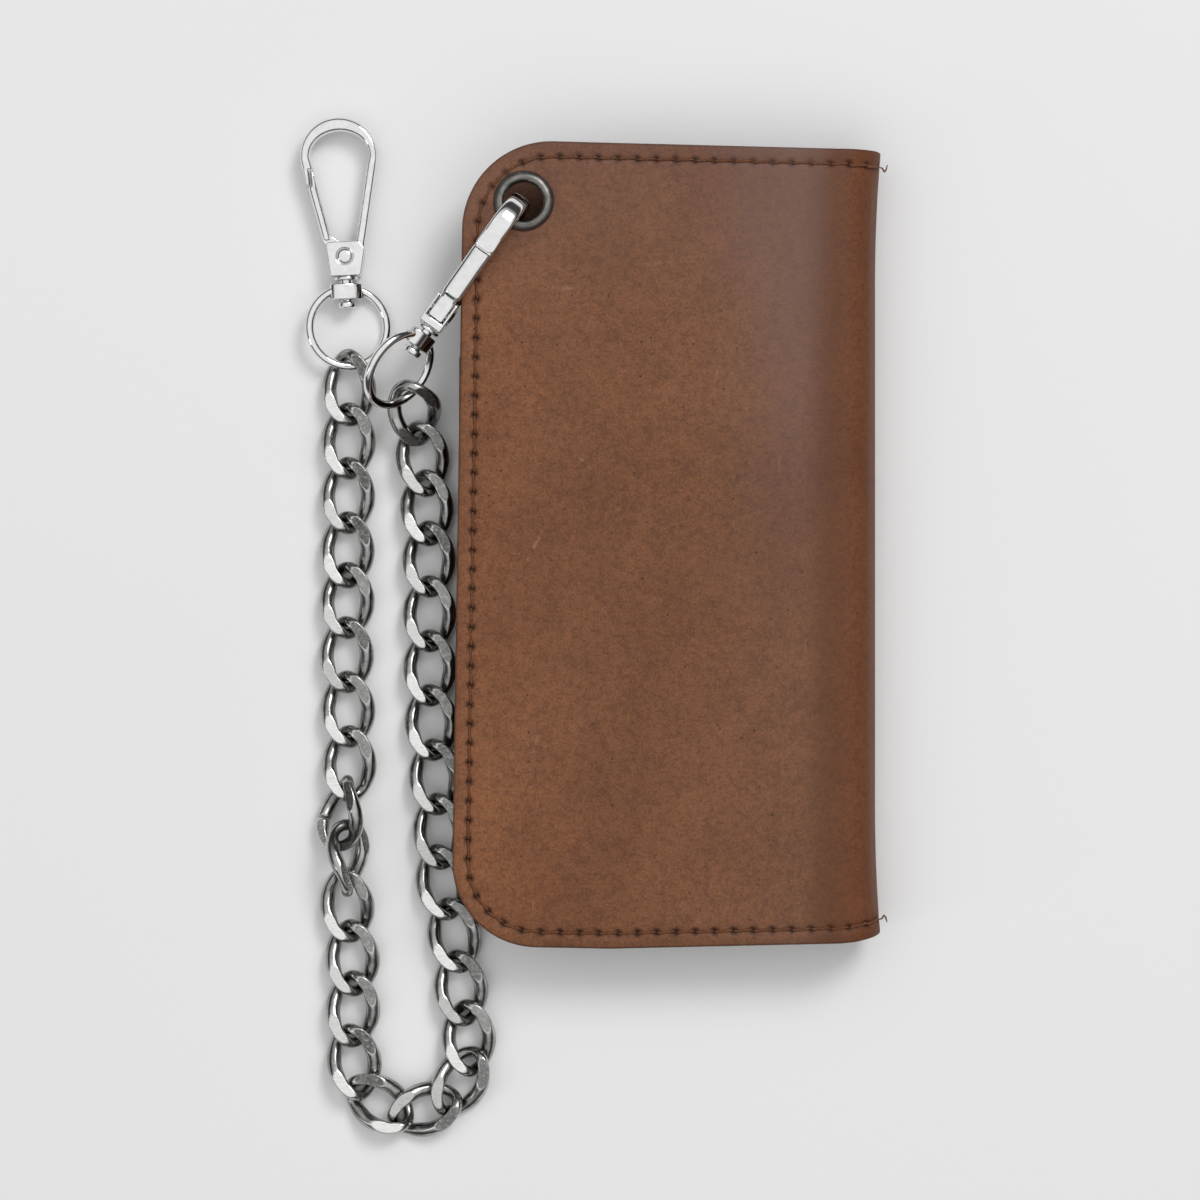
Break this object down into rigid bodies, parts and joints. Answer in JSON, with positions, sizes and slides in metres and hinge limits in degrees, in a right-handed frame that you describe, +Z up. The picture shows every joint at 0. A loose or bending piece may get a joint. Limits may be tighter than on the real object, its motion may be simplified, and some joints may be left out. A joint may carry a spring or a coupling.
{
  "type": "chain wallet",
  "caption": "Long bifold leather wallet with an eyelet, a curb chain and a swivel snap hook at each end of the chain.",
  "frame": {"origin": "middle of the face that the closed wallet lies on, on the outside of the back cover", "axes": "+X across the wallet from the open edge towards the fold, +Y along the wallet towards the eyelet end, +Z up out of the front cover"},
  "size_m": [0.1371, 0.244, 0.0269],
  "materials": {
    "cover_leather": "waxed pull-up leather, brown",
    "lining_leather": "smooth brown leather",
    "thread": "waxed dark red-brown thread",
    "eyelet_metal": "antique nickel",
    "hook_metal": "bright nickel plate",
    "spring_steel": "bright",
    "chain_metal": "antique steel with ground flats",
    "zip_cloth": "woven tape",
    "zip_metal": "antique brass"
  },
  "bodies": {
    "back_half": {"outer_back_cover": "cover_leather", "back_thread": "thread", "back_lining": "lining_leather", "card_slot_1": "lining_leather", "card_slot_2": "lining_leather", "card_slot_3": "lining_leather"},
    "spine": {"outer_spine": "cover_leather"},
    "front_half": {"outer_front_cover": "cover_leather", "front_thread": "thread", "front_lining": "lining_leather", "eyelet_barrel": "eyelet_metal", "eyelet_washer": "eyelet_metal", "coin_panel": "lining_leather", "zip_tape": "zip_cloth", "zip_teeth": "zip_metal"},
    "slider": {"zip_slider": "zip_metal"},
    "pull": {"zip_pull": "zip_metal"},
    "hook_1": {"hook_1_frame": "hook_metal", "hook_1_gate_rivet": "hook_metal", "hook_1_gate_spring": "spring_steel", "hook_1_swivel_stud": "hook_metal"},
    "gate_1": {"hook_1_gate": "hook_metal"},
    "ring_1": {"swivel_ring_1": "hook_metal"},
    "link_01": {"link_01": "chain_metal"},
    "link_02": {"link_02": "chain_metal"},
    "link_03": {"link_03": "chain_metal"},
    "link_04": {"link_04": "chain_metal"},
    "link_05": {"link_05": "chain_metal"},
    "link_06": {"link_06": "chain_metal"},
    "link_07": {"link_07": "chain_metal"},
    "link_08": {"link_08": "chain_metal"},
    "link_09": {"link_09": "chain_metal"},
    "link_10": {"link_10": "chain_metal"},
    "link_11": {"link_11": "chain_metal"},
    "link_12": {"link_12": "chain_metal"},
    "link_13": {"link_13": "chain_metal"},
    "link_14": {"link_14": "chain_metal"},
    "link_15": {"link_15": "chain_metal"},
    "link_16": {"link_16": "chain_metal"},
    "link_17": {"link_17": "chain_metal"},
    "link_18": {"link_18": "chain_metal"},
    "link_19": {"link_19": "chain_metal"},
    "link_20": {"link_20": "chain_metal"},
    "link_21": {"link_21": "chain_metal"},
    "link_22": {"link_22": "chain_metal"},
    "link_23": {"link_23": "chain_metal"},
    "link_24": {"link_24": "chain_metal"},
    "link_25": {"link_25": "chain_metal"},
    "link_26": {"link_26": "chain_metal"},
    "link_27": {"link_27": "chain_metal"},
    "link_28": {"link_28": "chain_metal"},
    "link_29": {"link_29": "chain_metal"},
    "link_30": {"link_30": "chain_metal"},
    "ring_2": {"swivel_ring_2": "hook_metal"},
    "hook_2": {"hook_2_frame": "hook_metal", "hook_2_gate_rivet": "hook_metal", "hook_2_gate_spring": "spring_steel", "hook_2_swivel_stud": "hook_metal"},
    "gate_2": {"hook_2_gate": "hook_metal"}
  },
  "joints": [
    {"name": "spine_fold", "type": "hinge", "parent": "back_half", "child": "spine", "pos_m": [0.04802, 0, 0.00198], "axis": [0, 1, 0], "range_deg": [0, 90]},
    {"name": "cover_fold", "type": "hinge", "parent": "spine", "child": "front_half", "pos_m": [0.04802, 0, 0.01742], "axis": [0, 1, 0], "range_deg": [0, 90]},
    {"name": "zip_slide", "type": "slide", "parent": "front_half", "child": "slider", "axis": [0, -1, 0], "range_m": [0, 0.092]},
    {"name": "zip_pull_swing", "type": "hinge", "parent": "slider", "child": "pull", "pos_m": [0.02, 0.027, 0.01265], "axis": [1, 0, 0], "range_deg": [0, 16]},
    {"name": "hook_1_swing", "type": "hinge", "parent": "front_half", "child": "hook_1", "pos_m": [-0.0333, 0.08084, 0.0172], "axis": [0, 0, -1], "range_deg": [0, 25]},
    {"name": "gate_1_open", "type": "hinge", "parent": "hook_1", "child": "gate_1", "pos_m": [-0.05281, 0.05504, 0.0171], "axis": [-0.8089, 0.5879, 0], "range_deg": [0, 8], "stiffness_Nm_per_rad": 0.05, "springref_deg": -11.46},
    {"name": "ring_1_swivel", "type": "hinge", "parent": "hook_1", "child": "ring_1", "pos_m": [-0.0556, 0.0512, 0.0172], "axis": [0.5879, 0.8089, 0], "range_deg": [0, 40]},
    {"name": "link_01_turn", "type": "hinge", "parent": "ring_1", "child": "link_01", "pos_m": [-0.05899, 0.03729, 0.01089], "axis": [0.3132, -0.9047, -0.2888], "range_deg": [0, 10.5]},
    {"name": "link_02_turn", "type": "hinge", "parent": "link_01", "child": "link_02", "pos_m": [-0.06097, 0.02556, 0.00352], "axis": [-0.1466, 0.9845, 0.0962], "range_deg": [-11.5, 0]},
    {"name": "link_03_turn", "type": "hinge", "parent": "link_02", "child": "link_03", "pos_m": [-0.05449, 0.01514, 0.00262], "axis": [0.9968, 0.0802, 0], "range_deg": [-4, 11.5]},
    {"name": "link_04_turn", "type": "hinge", "parent": "link_03", "child": "link_04", "pos_m": [-0.05413, 0.003, 0.00268], "axis": [-0.0397, 0.9992, 0.0013], "range_deg": [-11.5, 7.5]},
    {"name": "link_05_turn", "type": "hinge", "parent": "link_04", "child": "link_05", "pos_m": [-0.05733, -0.00971, 0.00274], "axis": [0.9999, 0.0115, 0], "range_deg": [-5.5, 11.5]},
    {"name": "link_06_turn", "type": "hinge", "parent": "link_05", "child": "link_06", "pos_m": [-0.05464, -0.02276, 0.00261], "axis": [1, 0.0063, 0], "range_deg": [-7, 11.5]},
    {"name": "link_07_turn", "type": "hinge", "parent": "link_06", "child": "link_07", "pos_m": [-0.05477, -0.03583, 0.00272], "axis": [0.9996, 0.0283, 0], "range_deg": [-8.5, 10]},
    {"name": "link_08_turn", "type": "hinge", "parent": "link_07", "child": "link_08", "pos_m": [-0.05396, -0.04868, 0.00258], "axis": [0.9971, 0.0755, 0], "range_deg": [-11.5, 8]},
    {"name": "link_09_turn", "type": "hinge", "parent": "link_08", "child": "link_09", "pos_m": [-0.05554, -0.06187, 0.00272], "axis": [-0.0715, 0.9974, -0.0001], "range_deg": [-11.5, 1.5]},
    {"name": "link_10_turn", "type": "hinge", "parent": "link_09", "child": "link_10", "pos_m": [-0.05609, -0.07347, 0.00313], "axis": [-0.9981, -0.0613, 0], "range_deg": [-6.5, 11.5]},
    {"name": "link_11_turn", "type": "hinge", "parent": "link_10", "child": "link_11", "pos_m": [-0.05031, -0.08632, 0.00238], "axis": [-0.9761, -0.2174, 0], "range_deg": [-5.5, 8]},
    {"name": "link_12_turn", "type": "hinge", "parent": "link_11", "child": "link_12", "pos_m": [-0.04739, -0.09994, 0.0031], "axis": [0.9924, 0.123, 0], "range_deg": [-11.5, 5]},
    {"name": "link_13_turn", "type": "hinge", "parent": "link_12", "child": "link_13", "pos_m": [-0.04529, -0.11046, 0.0022], "axis": [-0.9881, -0.1536, 0], "range_deg": [-4.5, 9]},
    {"name": "link_14_turn", "type": "hinge", "parent": "link_13", "child": "link_14", "pos_m": [-0.05067, -0.12278, 0.00314], "axis": [-0.1822, -0.9832, 0.0053], "range_deg": [0, 11.5]},
    {"name": "link_15_turn", "type": "hinge", "parent": "link_14", "child": "link_15", "pos_m": [-0.0547, -0.12951, 0.00291], "axis": [-0.7884, -0.6151, -0.0026], "range_deg": [-0.5, 11.5]},
    {"name": "link_16_turn", "type": "hinge", "parent": "link_15", "child": "link_16", "pos_m": [-0.06241, -0.132, 0.0029], "axis": [0.0033, -0.0005, 1], "range_deg": [-1, 11.5]},
    {"name": "link_17_turn", "type": "hinge", "parent": "link_16", "child": "link_17", "pos_m": [-0.07511, -0.12952, 0.0038], "axis": [0.0012, -0.002, -1], "range_deg": [-11.5, 1]},
    {"name": "link_18_turn", "type": "hinge", "parent": "link_17", "child": "link_18", "pos_m": [-0.07668, -0.11681, 0.00303], "axis": [-0.0238, 0.9997, -0.0041], "range_deg": [-0.5, 11.5]},
    {"name": "link_19_turn", "type": "hinge", "parent": "link_18", "child": "link_19", "pos_m": [-0.07193, -0.10476, 0.00262], "axis": [0.0116, -0.9999, 0.0007], "range_deg": [-11.5, 4.5]},
    {"name": "link_20_turn", "type": "hinge", "parent": "link_19", "child": "link_20", "pos_m": [-0.07704, -0.09278, 0.00235], "axis": [-0.0971, 0.9952, 0.0102], "range_deg": [-1, 11.5]},
    {"name": "link_21_turn", "type": "hinge", "parent": "link_20", "child": "link_21", "pos_m": [-0.07516, -0.07931, 0.00368], "axis": [0.021, 0.9976, 0.0667], "range_deg": [-11.5, 11.5]},
    {"name": "link_22_turn", "type": "hinge", "parent": "link_21", "child": "link_22", "pos_m": [-0.0737, -0.06832, 0.00496], "axis": [0.1348, -0.9908, 0.0137], "range_deg": [0, 11.5]},
    {"name": "link_23_turn", "type": "hinge", "parent": "link_22", "child": "link_23", "pos_m": [-0.07734, -0.05792, 0.00373], "axis": [0.1447, 0.988, -0.0532], "range_deg": [-11.5, 11.5]},
    {"name": "link_24_turn", "type": "hinge", "parent": "link_23", "child": "link_24", "pos_m": [-0.07673, -0.0458, 0.00255], "axis": [-0.9997, -0.023, 0], "range_deg": [-8.5, 11.5]},
    {"name": "link_25_turn", "type": "hinge", "parent": "link_24", "child": "link_25", "pos_m": [-0.07464, -0.03254, 0.00258], "axis": [-0.9996, -0.0271, 0], "range_deg": [-10.5, 11.5]},
    {"name": "link_26_turn", "type": "hinge", "parent": "link_25", "child": "link_26", "pos_m": [-0.07456, -0.01975, 0.00275], "axis": [0.9999, -0.0127, 0], "range_deg": [-11.5, 11.5]},
    {"name": "link_27_turn", "type": "hinge", "parent": "link_26", "child": "link_27", "pos_m": [-0.0733, -0.00683, 0.00256], "axis": [1, -0.0017, 0], "range_deg": [-11.5, 11.5]},
    {"name": "link_28_turn", "type": "hinge", "parent": "link_27", "child": "link_28", "pos_m": [-0.07453, 0.00551, 0.00263], "axis": [0, 0, 1], "range_deg": [-2, 11.5]},
    {"name": "link_29_turn", "type": "hinge", "parent": "link_28", "child": "link_29", "pos_m": [-0.07429, 0.01849, 0.0027], "axis": [-1, 0.0085, 0], "range_deg": [-11.5, 11.5]},
    {"name": "link_30_turn", "type": "hinge", "parent": "link_29", "child": "link_30", "pos_m": [-0.07762, 0.03163, 0.00261], "axis": [-0.0001, -0.008, 1], "range_deg": [-11.5, 2]},
    {"name": "ring_2_turn", "type": "hinge", "parent": "link_30", "child": "ring_2", "pos_m": [-0.07305, 0.04364, 0.00402], "axis": [-0.0001, 0.0054, -1], "range_deg": [-11.5, 5.5]},
    {"name": "hook_2_swivel", "type": "hinge", "parent": "ring_2", "child": "hook_2", "pos_m": [-0.07617, 0.06439, 0.0033], "axis": [-0.0471, 0.9989, 0], "continuous": true},
    {"name": "gate_2_open", "type": "hinge", "parent": "hook_2", "child": "gate_2", "pos_m": [-0.07629, 0.06914, 0.0033], "axis": [0, 0, -1], "range_deg": [0, 22], "stiffness_Nm_per_rad": 0.05, "springref_deg": -11.46}
  ],
  "couplings": [
    {"joint": "cover_fold", "follows": "spine_fold", "ratio": 1}
  ]
}
